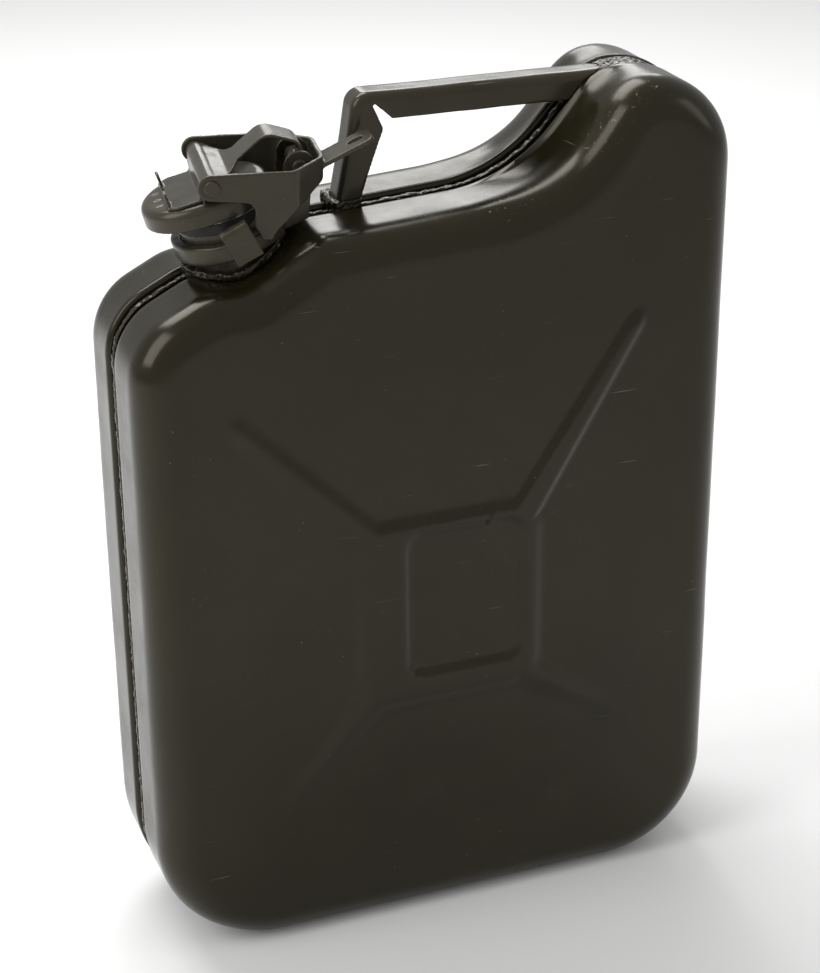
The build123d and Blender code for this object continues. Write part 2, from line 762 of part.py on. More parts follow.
with BuildPart() as handle:
    add(handle_run(0).part)
    add(handle_run(handle_sheet).part, mode=Mode.SUBTRACT)
    with BuildSketch(handle_plane):
        bar_low = handle_top - handle_height
        notch_x = handle_lean + handle_rounding + notch_place
        leg_inner_top = leg_top_depth + handle_lean - leg_taper
        with BuildLine():
            Polyline(
                (-2 * handle_lean, foot_low),
                (-2 * handle_lean, 2 * handle_top),
                (2 * handle_length, 2 * handle_top),
                (2 * handle_length, bar_low),
                (leg_inner_top + notch_mouth, bar_low),
                (notch_x, bar_low + notch_rise),
                (leg_inner_top, bar_low - notch_mouth),
                (leg_foot_depth - foot_shift, foot_low),
                close=True,
            )
        make_face()
    extrude(amount=handle_width, both=True, mode=Mode.INTERSECT)
    plan_level = Plane(
        origin=(-half_length + handle_front, handle_offset, 0),
        x_dir=(cos(handle_turn), -sin(handle_turn), 0),
        z_dir=(0, 0, 1),
    )
    with BuildSketch(plan_level):
        with BuildLine():
            Polyline(
                (-handle_length, -handle_width),
                (handle_length - handle_tip, -handle_width / 2 - tip_margin),
                (handle_length, 0),
                (handle_length - handle_tip, handle_width / 2 + tip_margin),
                (-handle_length, handle_width),
                close=True,
            )
        make_face()
    extrude(amount=tank_height, mode=Mode.INTERSECT)
    add(front_block.part, mode=Mode.SUBTRACT)
    add(rear_block.part, mode=Mode.SUBTRACT)
    add(seam_weld.part, mode=Mode.SUBTRACT)
save(handle, "handle")

# weld bead round the handle's front foot
with BuildPart() as handle_front_weld:
    with BuildSketch(Plane.XY.offset(foot_low)):
        with Locations((-half_length + handle_front + leg_foot_depth / 2, handle_offset)):
            RectangleRounded(
                leg_foot_depth + 2 * handle_weld_leg,
                handle_width + 2 * handle_weld_leg,
                handle_weld_leg,
            )
    extrude(amount=leg_height / 2)
    add(skin_layer.part, mode=Mode.INTERSECT)
    for solid_part in (front_block, rear_block, seam_weld, handle):
        add(solid_part.part, mode=Mode.SUBTRACT)
save(handle_front_weld, "handle_front_weld")

# weld that fills the groove under the handle's rear end
with BuildPart() as handle_rear_weld:
    add(across(-seam_half_width, seam_half_width, rear_weld_drop).part)
    with BuildSketch(Plane.XZ):
        with Locations((rear_weld_start, 0)):
            Rectangle(rear_weld_end - rear_weld_start, 2 * tank_height, align=(Align.MIN, Align.CENTER))
    extrude(amount=half_depth, both=True, mode=Mode.INTERSECT)
    with BuildSketch(Plane.XY.offset(tank_height / 2)):
        Rectangle(tank_length, tank_depth)
    extrude(amount=tank_height, mode=Mode.INTERSECT)
    for solid_part in (front_block, rear_block, seam_weld, handle):
        add(solid_part.part, mode=Mode.SUBTRACT)
save(handle_rear_weld, "handle_rear_weld")
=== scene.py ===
import json
import math

import bmesh
import bpy
from mathutils import Matrix, Vector, noise


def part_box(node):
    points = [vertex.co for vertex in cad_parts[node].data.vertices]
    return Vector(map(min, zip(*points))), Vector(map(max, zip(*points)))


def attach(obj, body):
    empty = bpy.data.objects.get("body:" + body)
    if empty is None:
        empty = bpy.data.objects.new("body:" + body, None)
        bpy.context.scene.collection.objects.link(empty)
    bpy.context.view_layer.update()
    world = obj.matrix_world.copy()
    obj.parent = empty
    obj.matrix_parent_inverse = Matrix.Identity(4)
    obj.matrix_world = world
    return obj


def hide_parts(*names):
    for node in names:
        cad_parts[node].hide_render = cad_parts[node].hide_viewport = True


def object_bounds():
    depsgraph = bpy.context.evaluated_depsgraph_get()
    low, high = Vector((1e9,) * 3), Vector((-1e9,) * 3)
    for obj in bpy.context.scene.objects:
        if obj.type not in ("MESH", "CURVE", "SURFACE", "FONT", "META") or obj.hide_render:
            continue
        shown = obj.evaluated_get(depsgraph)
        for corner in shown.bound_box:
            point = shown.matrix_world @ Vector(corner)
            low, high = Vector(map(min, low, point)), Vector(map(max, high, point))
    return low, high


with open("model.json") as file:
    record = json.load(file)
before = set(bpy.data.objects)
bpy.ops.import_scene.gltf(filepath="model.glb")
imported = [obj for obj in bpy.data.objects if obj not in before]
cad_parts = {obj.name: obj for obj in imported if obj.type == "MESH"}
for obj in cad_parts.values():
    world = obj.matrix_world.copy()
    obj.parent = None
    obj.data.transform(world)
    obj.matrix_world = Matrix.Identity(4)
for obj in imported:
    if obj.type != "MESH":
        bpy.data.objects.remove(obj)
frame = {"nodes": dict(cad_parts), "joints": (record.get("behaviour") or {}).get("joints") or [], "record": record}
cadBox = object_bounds()
cadNodes = frame["nodes"]
joints = {joint["name"]: joint for joint in frame["joints"]}
mounts = {mount["name"]: mount for mount in frame["record"]["mounts"]}
mm = 0.001

# the closure's own directions, from the record
neckAxis = Vector(mounts["neck_bore"]["axis"]).normalized()  # out of the mouth
acrossAxis = Vector(joints["cap_hinge"]["axis"]).normalized()  # along the hinge pin, to the rear
leverRun = acrossAxis.cross(neckAxis)  # from the nose of the cap to the lever's tip
neckMiddle = Vector(mounts["neck_bore"]["pos_m"])
hingeSpot = Vector(joints["cap_hinge"]["pos_m"])
leverSpot = Vector(joints["lever_pivot"]["pos_m"])


def pick(piece):
    bpy.ops.object.select_all(action="DESELECT")
    piece.select_set(True)
    bpy.context.view_layer.objects.active = piece


def smoothStep(value):
    value = min(max(value, 0.0), 1.0)
    return value * value * (3 - 2 * value)


def applyModifier(piece, kind, **values):
    pick(piece)
    modifier = piece.modifiers.new(kind.lower(), kind)
    for key, value in values.items():
        setattr(modifier, key, value)
    bpy.ops.object.modifier_apply(modifier=modifier.name)


def neckPlace(point):
    # a point's place along the lever's run, across the neck and up it, from the middle of its bore
    offset = point - neckMiddle
    return Vector((offset.dot(leverRun), offset.dot(acrossAxis), offset.dot(neckAxis)))


def settle(piece, body, slotName, material, *replaced):
    piece.data.materials.clear()
    piece.data.materials.append(material)
    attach(piece, body)
    if replaced:
        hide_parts(*replaced)


cameraSet = {
    "azimuth": -21.01,
    "elevation": 25.02,
    "roll": -0.51,
    "distance": 1.3424,
    "target": (-0.00166, 0.0, 0.2522),
    "lens": 86.27,
    "sensor": 36.0,
    "farEnd": 50,
}


def addCamera():
    turn = math.radians(cameraSet["azimuth"])
    rise = math.radians(cameraSet["elevation"])
    roll = math.radians(cameraSet["roll"])
    back = Vector((math.sin(turn) * math.cos(rise), -math.cos(turn) * math.cos(rise), math.sin(rise)))
    level = Vector((math.cos(turn), math.sin(turn), 0))
    upright = back.cross(level)
    right = level * math.cos(roll) + upright * math.sin(roll)
    up = back.cross(right)
    bpy.ops.object.camera_add()
    camera = bpy.context.object
    camera.name = "viewCamera"
    turned = Matrix((right, up, back)).transposed().to_4x4()
    place = Vector(cameraSet["target"]) + back * cameraSet["distance"]
    camera.matrix_world = Matrix.Translation(place) @ turned
    camera.data.sensor_width = cameraSet["sensor"]
    camera.data.lens = cameraSet["lens"]
    camera.data.clip_end = cameraSet["farEnd"]
    bpy.context.scene.camera = camera


lightSet = {
    "world": 0.55,
    "worldColour": (1.0, 1.0, 0.99, 1),
    "boxes": [
        # name, place, aim, width, height, power
        ("leftBox", (-1.9, -0.3, 1.6), (0.0, 0.0, 0.25), 1.2, 1.8, 26.0),
        ("topBox", (-0.3, 1.1, 2.1), (-0.2, 0.3, 0.2), 1.6, 1.0, 34.0),
        ("backBox", (0.8, 1.9, 1.35), (0.0, 0.0, 0.4), 1.1, 0.55, 8.0),
        ("rightBox", (2.0, -1.2, 1.2), (0.0, 0.0, 0.2), 0.7, 1.4, 4.0),
    ],
}


def addLight():
    world = bpy.context.scene.world or bpy.data.worlds.new("studio")
    bpy.context.scene.world = world
    world.use_nodes = True
    sky = world.node_tree.nodes["Background"]
    sky.inputs["Color"].default_value = lightSet["worldColour"]
    sky.inputs["Strength"].default_value = lightSet["world"]
    for name, place, aim, width, height, power in lightSet["boxes"]:
        bpy.ops.object.light_add(type="AREA", location=place)
        box = bpy.context.object
        box.name = name
        box.data.shape = "RECTANGLE"
        box.data.size = width
        box.data.size_y = height
        box.data.energy = power
        towards = Vector(aim) - Vector(place)
        box.rotation_euler = towards.to_track_quat("-Z", "Y").to_euler()
    bpy.context.scene.view_settings.view_transform = "Standard"


floorSet = {"size": 16.0, "colour": (0.86, 0.86, 0.86, 1), "roughness": 0.8}


def addFloor():
    bpy.ops.mesh.primitive_plane_add(size=floorSet["size"], location=(0, 0, cadBox[0].z))
    floor = bpy.context.object
    floor.name = "studioFloor"
    paper = bpy.data.materials.new("paper")
    paper.use_nodes = True
    shader = paper.node_tree.nodes["Principled BSDF"]
    shader.inputs["Base Color"].default_value = floorSet["colour"]
    shader.inputs["Roughness"].default_value = floorSet["roughness"]
    floor.data.materials.append(paper)


addCamera()
addLight()
addFloor()
print("camera, light and floor are in place")


def startMaterial(name):
    material = bpy.data.materials.new(name)
    material.use_nodes = True
    tree = material.node_tree
    where = addNode(tree, "ShaderNodeTexCoord").outputs["Object"]
    return material, tree, tree.nodes["Principled BSDF"], where


def addNode(tree, kind, **values):
    node = tree.nodes.new(kind)
    for key, value in values.items():
        if key in node.inputs.keys():
            node.inputs[key].default_value = value
        else:
            setattr(node, key, value)
    return node


def addNoise(tree, where, size, detail=3.0, roughness=0.5):
    spots = addNode(tree, "ShaderNodeTexNoise", Scale=1 / size, Detail=detail, Roughness=roughness)
    tree.links.new(where, spots.inputs["Vector"])
    return spots.outputs["Fac"]


def addRange(tree, value, low, high, outLow=0.0, outHigh=1.0):
    span = addNode(tree, "ShaderNodeMapRange")
    span.inputs["From Min"].default_value = low
    span.inputs["From Max"].default_value = high
    span.inputs["To Min"].default_value = outLow
    span.inputs["To Max"].default_value = outHigh
    tree.links.new(value, span.inputs["Value"])
    return span.outputs["Result"]


def addMath(tree, kind, first, second):
    sums = addNode(tree, "ShaderNodeMath", operation=kind, use_clamp=True)
    tree.links.new(first, sums.inputs[0])
    if isinstance(second, float):
        sums.inputs[1].default_value = second
    else:
        tree.links.new(second, sums.inputs[1])
    return sums.outputs["Value"]


def mixColour(tree, share, first, second):
    mix = tree.nodes.new("ShaderNodeMix")
    mix.data_type = "RGBA"
    firstSocket, secondSocket = mix.inputs[6], mix.inputs[7]  # the colour sockets A and B
    tree.links.new(share, mix.inputs[0])
    for value, socket in ((first, firstSocket), (second, secondSocket)):
        if isinstance(value, tuple):
            socket.default_value = value
        else:
            tree.links.new(value, socket)
    return mix.outputs[2]


def addBump(tree, height, strength, distance, under=None):
    bump = addNode(tree, "ShaderNodeBump", Strength=strength, Distance=distance)
    tree.links.new(height, bump.inputs["Height"])
    if under:
        tree.links.new(under, bump.inputs["Normal"])
    return bump.outputs["Normal"]


def attributeOf(tree, name):
    return addNode(tree, "ShaderNodeAttribute", attribute_name=name).outputs["Fac"]


enamelLooks = {
    "tankEnamel": {
        "base": (0.0088, 0.0074, 0.0026, 1),
        "patch": (0.0126, 0.0108, 0.0044, 1),
        "gloss": (0.16, 0.30),
        "wearStart": 0.42,
        "dust": 0.5,
        "ripple": 0.35,
    },
    "closureEnamel": {
        "base": (0.0300, 0.0270, 0.0190, 1),
        "patch": (0.0440, 0.0390, 0.0280, 1),
        "gloss": (0.17, 0.34),
        "wearStart": 0.15,
        "dust": 0.9,
        "ripple": 0.5,
    },
    "handleEnamel": {
        "base": (0.0220, 0.0195, 0.0115, 1),
        "patch": (0.0310, 0.0275, 0.0175, 1),
        "gloss": (0.15, 0.28),
        "wearStart": 0.19,
        "dust": 0.8,
        "ripple": 0.5,
    },
    "weldEnamel": {
        "base": (0.0090, 0.0080, 0.0045, 1),
        "patch": (0.0210, 0.0185, 0.0110, 1),
        "gloss": (0.12, 0.34),
        "wearStart": 0.60,
        "dust": 0.4,
        "ripple": 1.0,
    },
}
# what the four coats share: sizes in metres, and each span is where a pattern starts and where it is full
coatSet = {
    "toneSize": 0.085,
    "toneSpan": (0.35, 0.68),
    "grainsPerMetre": 150.0,
    "grainEdge": (0.035, 0.075),
    "dustArea": 0.05,
    "dustSpan": (0.52, 0.70),
    "dustColour": (0.34, 0.33, 0.29, 1),
    "scratchTurn": 34,
    "scratchStretch": (20.0, 20.0, 900.0),
    "scratchSpan": (0.715, 0.745),
    "scratchStrength": 0.3,
    "scratchArea": 0.03,
    "scratchAreaSpan": (0.52, 0.66),
    "raggedSize": 0.0028,
    "raggedSpan": (0.3, 0.7),
    "wearRagged": (0.55, 1.35),
    "wearSoftness": 0.12,
    "wearStrength": 0.85,
    "bareSteel": (0.115, 0.088, 0.066, 1),
    "chipSpan": (0.60, 0.66),
    "chipGrain": 0.0016,
    "chipGrainSpan": (0.42, 0.55),
    "rust": (0.085, 0.036, 0.018, 1),
    "primer": (0.42, 0.33, 0.22, 1),
    "glossArea": 0.04,
    "glossSpan": (0.35, 0.70),
    "dullMarks": 0.5,
    "dullWear": 0.4,
    "peelSize": 0.0022,
    "peelStrength": 0.10,
    "peelDepth": 0.0002,
    "rippleSize": 0.032,
    "rippleDepth": 0.0006,
    "refraction": 1.40,
    "sheenTint": (1.0, 0.93, 0.78, 1),
}


def dustAndScratches(tree, where, dustShare):
    # dust: a few grains, each in its own cell, thicker in some areas
    coat = coatSet
    grains = addNode(tree, "ShaderNodeTexVoronoi", Scale=coat["grainsPerMetre"])
    tree.links.new(where, grains.inputs["Vector"])
    grain = addRange(tree, grains.outputs["Distance"], *coat["grainEdge"], 1.0, 0.0)
    dusty = addNoise(tree, where, coat["dustArea"], 5.0, 0.7)
    dusty = addRange(tree, dusty, *coat["dustSpan"], 0.0, dustShare)
    grain = addMath(tree, "MULTIPLY", grain, dusty)

    # fine scratches: noise drawn out along one direction, cut off high
    drawn = addNode(tree, "ShaderNodeMapping")
    drawn.inputs["Rotation"].default_value = (0.0, math.radians(coat["scratchTurn"]), 0.0)
    drawn.inputs["Scale"].default_value = coat["scratchStretch"]
    tree.links.new(where, drawn.inputs["Vector"])
    streak = addNode(tree, "ShaderNodeTexNoise", Scale=1.0, Detail=2.0)
    tree.links.new(drawn.outputs["Vector"], streak.inputs["Vector"])
    scratch = addRange(tree, streak.outputs["Fac"], *coat["scratchSpan"], 0.0, coat["scratchStrength"])
    scratched = addRange(tree, addNoise(tree, where, coat["scratchArea"], 2.0), *coat["scratchAreaSpan"])
    scratch = addMath(tree, "MULTIPLY", scratch, scratched)
    return addMath(tree, "MAXIMUM", grain, scratch)


def enamel(name):
    look = enamelLooks[name]
    coat = coatSet
    material, tree, shader, where = startMaterial(name)

    # broad shifts of tone, as the coat is thicker in places
    tone = addRange(tree, addNoise(tree, where, coat["toneSize"], 4.0, 0.6), *coat["toneSpan"])
    colour = mixColour(tree, tone, look["base"], look["patch"])
    marks = dustAndScratches(tree, where, look["dust"])
    colour = mixColour(tree, marks, colour, coat["dustColour"])

    # edges rubbed to steel
    ragged = addNoise(tree, where, coat["raggedSize"], 6.0, 0.7)
    uneven = addRange(tree, ragged, *coat["raggedSpan"], *coat["wearRagged"])
    rub = addMath(tree, "MULTIPLY", attributeOf(tree, "wear"), uneven)
    wearFull = look["wearStart"] + coat["wearSoftness"]
    rub = addRange(tree, rub, look["wearStart"], wearFull, 0.0, coat["wearStrength"])
    colour = mixColour(tree, rub, colour, coat["bareSteel"])

    # chips down to primer and rust
    chipShare = addRange(tree, ragged, *coat["chipSpan"])
    chipShare = addMath(tree, "MULTIPLY", attributeOf(tree, "chips"), chipShare)
    chipGrain = addRange(tree, addNoise(tree, where, coat["chipGrain"]), *coat["chipGrainSpan"])
    chipColour = mixColour(tree, chipGrain, coat["rust"], coat["primer"])
    colour = mixColour(tree, chipShare, colour, chipColour)
    tree.links.new(colour, shader.inputs["Base Color"])

    # gloss: smooth enamel with duller patches, dull where it is marked
    gloss = addNoise(tree, where, coat["glossArea"], 5.0, 0.65)
    gloss = addRange(tree, gloss, *coat["glossSpan"], *look["gloss"])
    dullMarks = addMath(tree, "MULTIPLY", marks, coat["dullMarks"])
    dullWear = addMath(tree, "MULTIPLY", rub, coat["dullWear"])
    gloss = addMath(tree, "ADD", gloss, addMath(tree, "MAXIMUM", dullMarks, dullWear))
    tree.links.new(gloss, shader.inputs["Roughness"])

    # orange peel, and the slow ripple of pressed sheet
    peelHeight = addNoise(tree, where, coat["peelSize"], 2.0)
    peel = addBump(tree, peelHeight, coat["peelStrength"], coat["peelDepth"])
    rippleHeight = addNoise(tree, where, coat["rippleSize"], 2.0)
    ripple = addBump(tree, rippleHeight, look["ripple"], coat["rippleDepth"], peel)
    tree.links.new(ripple, shader.inputs["Normal"])
    shader.inputs["IOR"].default_value = coat["refraction"]
    shader.inputs["Specular Tint"].default_value = coat["sheenTint"]
    return material


platedLook = {
    "cloud": 0.012,
    "dark": (0.30, 0.29, 0.26, 1),
    "light": (0.46, 0.45, 0.42, 1),
    "roughness": (0.34, 0.52),
}
rubberLook = {
    "cloud": 0.006,
    "dark": (0.006, 0.006, 0.006, 1),
    "light": (0.014, 0.013, 0.012, 1),
    "roughness": (0.62, 0.80),
    "grainSize": 0.0012,
    "grainStrength": 0.3,
    "grainDepth": 0.0002,
}


def addClouds(tree, shader, where, look):
    # colour and roughness drift together
    cloud = addRange(tree, addNoise(tree, where, look["cloud"], 5.0), *coatSet["toneSpan"])
    colour = mixColour(tree, cloud, look["dark"], look["light"])
    tree.links.new(colour, shader.inputs["Base Color"])
    tree.links.new(addRange(tree, cloud, 0.0, 1.0, *look["roughness"]), shader.inputs["Roughness"])


def platedSteel():
    material, tree, shader, where = startMaterial("platedSteel")
    addClouds(tree, shader, where, platedLook)
    shader.inputs["Metallic"].default_value = 1.0
    return material


def sealRubber():
    look = rubberLook
    material, tree, shader, where = startMaterial("sealRubber")
    addClouds(tree, shader, where, look)
    height = addNoise(tree, where, look["grainSize"], 3.0)
    grain = addBump(tree, height, look["grainStrength"], look["grainDepth"])
    tree.links.new(grain, shader.inputs["Normal"])
    return material


tankEnamel = enamel("tankEnamel")
closureEnamel = enamel("closureEnamel")
handleEnamel = enamel("handleEnamel")
weldEnamel = enamel("weldEnamel")
plated = platedSteel()
rubber = sealRubber()
print("finishes are ready")


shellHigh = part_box("front_shell")[1]
tankShape = {
    "halfLength": shellHigh.x,
    "top": shellHigh.z,
    "halfDepth": 55 * mm,  # broad face, without the pressed frame
    "baseRadiusNeckEnd": 70 * mm,
    "baseRadiusHumpEnd": 63 * mm,
    "shoulderDrop": 111 * mm,
    "shoulderRadius": 40 * mm,
    "shelfDrop": 88.5 * mm,
    "shelfStart": 44.5 * mm,
    "shelfEnd": 65.5 * mm,
    "shelfRadius": 36 * mm,
    "stepRadius": 24 * mm,
    "stepStart": 105.5 * mm,
    "stepDrop": 65 * mm,
    "saddleDrop": 57.5 * mm,
    "saddleEnd": 118 * mm,
    "saddleRadius": 88 * mm,
    "humpShoulder": 67.5 * mm,
    "humpShoulderRadius": 36 * mm,
    "humpRadius": 50 * mm,
    "sheet": 1.2 * mm,
    "grooveDepth": 7 * mm,
    "grooveHalfWidth": 7 * mm,
    "grooveCorner": 0.8 * mm,
    "seamGap": 0.02 * mm,  # each half stops this far from the middle
    "flangeDrop": 2.8 * mm,
    "flangeHalf": 1.1 * mm,
    "flangeFlare": 0.1 * mm,  # the flange is this much thicker at its foot
    "rimRadius": 3 * mm,
    "faceRadius": 20 * mm,
    "humpFaceRadius": 28 * mm,
    "humpFaceSpot": (82 * mm, 462 * mm),  # the face's rounding is widest here
    "humpFaceReach": 75 * mm,
    "creaseAngle": 42,
    "centre": (8 * mm, 212 * mm),  # the face's rings shrink towards this point
    "around": 400,
    "rimRings": 6,
    "sideRings": 9,
    "filletRings": 12,
    "faceRings": 66,
    "spreadRings": 14,  # face rings over which their points even out
    "faceCrowding": 1.15,  # above 1, the rings lie closer together towards the middle
}


def outlineCorners():
    shape = tankShape
    left, right, top = -shape["halfLength"], shape["halfLength"], shape["top"]
    return [
        ((left, 0), shape["baseRadiusNeckEnd"]),
        ((right, 0), shape["baseRadiusHumpEnd"]),
        ((right, top), shape["humpRadius"]),
        ((right - shape["humpShoulder"], top), shape["humpShoulderRadius"]),
        ((right - shape["saddleEnd"], top - shape["saddleDrop"]), shape["saddleRadius"]),
        ((left + shape["stepStart"], top - shape["stepDrop"]), shape["stepRadius"]),
        ((left + shape["shelfEnd"], top - shape["shelfDrop"]), shape["stepRadius"]),
        ((left + shape["shelfStart"], top - shape["shelfDrop"]), shape["shelfRadius"]),
        ((left, top - shape["shoulderDrop"]), shape["shoulderRadius"]),
    ]


def outlineTrail(step=1 * mm):
    # fine walk round the outline: straights, then an arc at each corner
    corners = outlineCorners()
    trail = []
    for index, (corner, radius) in enumerate(corners):
        here = Vector(corner)
        before = Vector(corners[index - 1][0])
        after = Vector(corners[(index + 1) % len(corners)][0])
        inward = (here - before).normalized()
        outward = (after - here).normalized()
        turn = inward.angle_signed(outward)  # positive turns to the right
        reach = radius * math.tan(abs(turn) / 2)
        start = here - inward * reach
        side = Vector((inward.y, -inward.x)) * (1 if turn > 0 else -1)
        middle = start + side * radius
        count = max(3, int(radius * abs(turn) / step))
        for k in range(count + 1):
            swing = turn * k / count
            arm = start - middle
            turned = Vector((
                arm.x * math.cos(swing) + arm.y * math.sin(swing),
                arm.y * math.cos(swing) - arm.x * math.sin(swing),
            ))
            trail.append(middle + turned)
    return trail


def spreadEvenly(ring, count):
    # points an even distance apart on a closed ring, from the same start
    lengths = [0.0]
    for index in range(len(ring)):
        lengths.append(lengths[-1] + (ring[(index + 1) % len(ring)] - ring[index]).length)
    spread = []
    segment = 0
    for k in range(count):
        goal = lengths[-1] * k / count
        while lengths[segment + 1] < goal:
            segment += 1
        share = (goal - lengths[segment]) / max(lengths[segment + 1] - lengths[segment], 1e-9)
        spread.append(ring[segment].lerp(ring[(segment + 1) % len(ring)], share))
    return spread


def outlinePoints(count):
    # evenly spaced points on the outline, each with its outward direction
    points = spreadEvenly(outlineTrail(), count)
    outline = []
    for k, point in enumerate(points):
        along = points[(k + 1) % count] - points[k - 1]
        outline.append((point, Vector((along.y, -along.x)).normalized()))
    return outline


panelShape = {
    "outer": (-58 * mm, 59.5 * mm, 139.5 * mm, 262.5 * mm),  # left, right, low, high
    "outerRadius": 22 * mm,
    "outerSlope": 9 * mm,
    "inner": (-23.5 * mm, 44 * mm, 163.4 * mm, 248.5 * mm),
    "innerRadius": 9 * mm,
    "innerSlope": 3.6 * mm,
    "height": 2.38 * mm,
    # root, tip, half width at root and tip, slope, how much the tip fades
    "arms": [
        ((46 * mm, 252 * mm), (112 * mm, 356 * mm), 11 * mm, 7 * mm, 6 * mm, 0.1),
        ((-46 * mm, 250 * mm), (-119 * mm, 328 * mm), 13 * mm, 9 * mm, 10 * mm, 0.35),
        ((-44 * mm, 152 * mm), (-96 * mm, 92 * mm), 14 * mm, 9 * mm, 12 * mm, 0.75),
        ((48 * mm, 150 * mm), (116 * mm, 104 * mm), 12 * mm, 8 * mm, 11 * mm, 0.85),
    ],
}


def roundedDistance(x, z, box, radius):
    # distance to a rounded rectangle, negative inside it
    left, right, low, high = box
    dx = abs(x - (left + right) / 2) - (right - left) / 2 + radius
    dz = abs(z - (low + high) / 2) - (high - low) / 2 + radius
    outside = math.hypot(max(dx, 0), max(dz, 0))
    return outside + min(max(dx, dz), 0) - radius


def pressedHeight(x, z):
    # how far the raised frame and its arms stand out of the face
    shape = panelShape
    rise = smoothStep(-roundedDistance(x, z, shape["outer"], shape["outerRadius"]) / shape["outerSlope"])
    for root, tip, rootHalf, tipHalf, slope, fade in shape["arms"]:
        start, run = Vector(root), Vector(tip) - Vector(root)
        share = min(max((Vector((x, z)) - start).dot(run) / run.length_squared, 0), 1)
        away = (Vector((x, z)) - start - run * share).length
        half = rootHalf + (tipHalf - rootHalf) * share
        arm = smoothStep((half - away) / slope) * (1 - fade * share)
        rise = max(rise, arm)
    well = smoothStep(roundedDistance(x, z, shape["inner"], shape["innerRadius"]) / shape["innerSlope"])
    return shape["height"] * rise * well


dentShape = {
    "sideWave": 0.55 * mm,  # slow waves along the narrow sides
    "sideWaveLength": 55 * mm,
    "sideWaveLift": 0.35,
    "sideWaveShift": 0.4,  # sets the two halves' waves apart
    "sideWaveSkew": 0.03,
    "faceWave": 0.35 * mm,
    "faceWaveLength": 120 * mm,
    "faceWaveLift": 0.3,
    "faceWaveEdge": 8,  # the higher, the sooner the waves start inside the face's border
    "saddleDish": 6.0 * mm,  # hollow beside the groove under the handle's rear end
    "dishMiddle": 78 * mm,
    "dishReach": 52 * mm,
    "dishLow": 415 * mm,
    "dishFade": 20 * mm,
}


def sideInset(x, z, depthShare, side):
    # how far a point of the narrow side is pushed in
    dents = dentShape
    across = side * dents["sideWaveShift"] + depthShare * dents["sideWaveSkew"]
    spot = Vector((x, across, z)) / dents["sideWaveLength"]
    belly = math.sin(math.pi * min(max(depthShare, 0), 1))
    wave = (noise.noise(spot) + dents["sideWaveLift"]) * dents["sideWave"] * belly
    nearDish = smoothStep(1 - abs(x - dents["dishMiddle"]) / dents["dishReach"])
    nearSlope = nearDish * smoothStep((z - dents["dishLow"]) / dents["dishFade"])
    return max(wave, 0) + nearSlope * belly * dents["saddleDish"]


def faceRadiusAt(x, z):
    shape = tankShape
    spotX, spotZ = shape["humpFaceSpot"]
    nearHump = smoothStep(1 - math.hypot(x - spotX, z - spotZ) / shape["humpFaceReach"])
    return shape["faceRadius"] + (shape["humpFaceRadius"] - shape["faceRadius"]) * nearHump


def placedRing(outline, side, insetAndDepth):
    # the outline moved inwards and away from the seam, by a rule for each of its points
    placed = []
    for point, outward in outline:
        inset, depth = insetAndDepth(point)
        moved = point - outward * inset
        placed.append(Vector((moved.x, side * depth, moved.y)))
    return placed


def grooveRings(outline, side):
    # rings from the flange, down the groove and over the rim
    shape = tankShape
    flange, floorDepth, corner = shape["flangeDrop"], shape["grooveDepth"], shape["grooveCorner"]
    width, rim = shape["grooveHalfWidth"], shape["rimRadius"]
    edges = [
        (flange, shape["seamGap"]),
        (flange, shape["flangeHalf"]),
        (floorDepth - corner, shape["flangeHalf"] + shape["flangeFlare"]),
        (floorDepth, shape["flangeHalf"] + corner),
        (floorDepth, width - 1.5 * corner),
        (floorDepth - 0.3 * corner, width - 0.4 * corner),
        (floorDepth - 1.5 * corner, width),
    ]
    for k in range(shape["rimRings"]):
        swing = math.radians(90) * k / (shape["rimRings"] - 1)
        edges.append((rim - rim * math.sin(swing), width + rim - rim * math.cos(swing)))
    return [placedRing(outline, side, lambda point: edge) for edge in edges]


def sideRings(outline, side):
    # rings over the narrow side, then round the fillet to the face
    shape = tankShape
    width, rim, half = shape["grooveHalfWidth"], shape["rimRadius"], shape["halfDepth"]

    def push(point, depth):
        return sideInset(point.x, point.y, (depth - width) / (half - width), side)

    def sidePlace(point):
        radius = faceRadiusAt(point.x, point.y)
        depth = width + rim + (half - radius - width - rim) * share
        return push(point, depth), depth

    def filletPlace(point):
        radius = faceRadiusAt(point.x, point.y)
        depth = half - radius + radius * math.sin(swing)
        return radius * (1 - math.cos(swing)) + push(point, depth) * math.cos(swing), depth

    rings = []
    for k in range(1, shape["sideRings"] + 1):
        share = k / shape["sideRings"]
        rings.append(placedRing(outline, side, sidePlace))
    for k in range(1, shape["filletRings"] + 1):
        swing = math.radians(90) * k / shape["filletRings"]
        rings.append(placedRing(outline, side, filletPlace))
    return rings


def faceRings(border, side):
    # rings over the broad face, each smaller than the last, with its waves and its raised frame
    shape = tankShape
    dents = dentShape
    middle = Vector((shape["centre"][0], 0, shape["centre"][1]))
    even = spreadEvenly(border, len(border))
    rings = []
    for k in range(1, shape["faceRings"] + 1):
        share = (1 - k / (shape["faceRings"] + 1)) ** shape["faceCrowding"]
        settled = smoothStep(k / shape["spreadRings"])
        placed = []
        for edgePoint, evenPoint in zip(border, even):
            spot = middle + (edgePoint.lerp(evenPoint, settled) - middle) * share
            wave = noise.noise(Vector((spot.x, side, spot.z)) / dents["faceWaveLength"])
            inside = smoothStep((1 - share) * dents["faceWaveEdge"])
            sink = (wave + dents["faceWaveLift"]) * dents["faceWave"] * inside
            spot.y = side * (shape["halfDepth"] - max(sink, 0) + pressedHeight(spot.x, spot.z))
            placed.append(spot)
        rings.append(placed)
    return rings


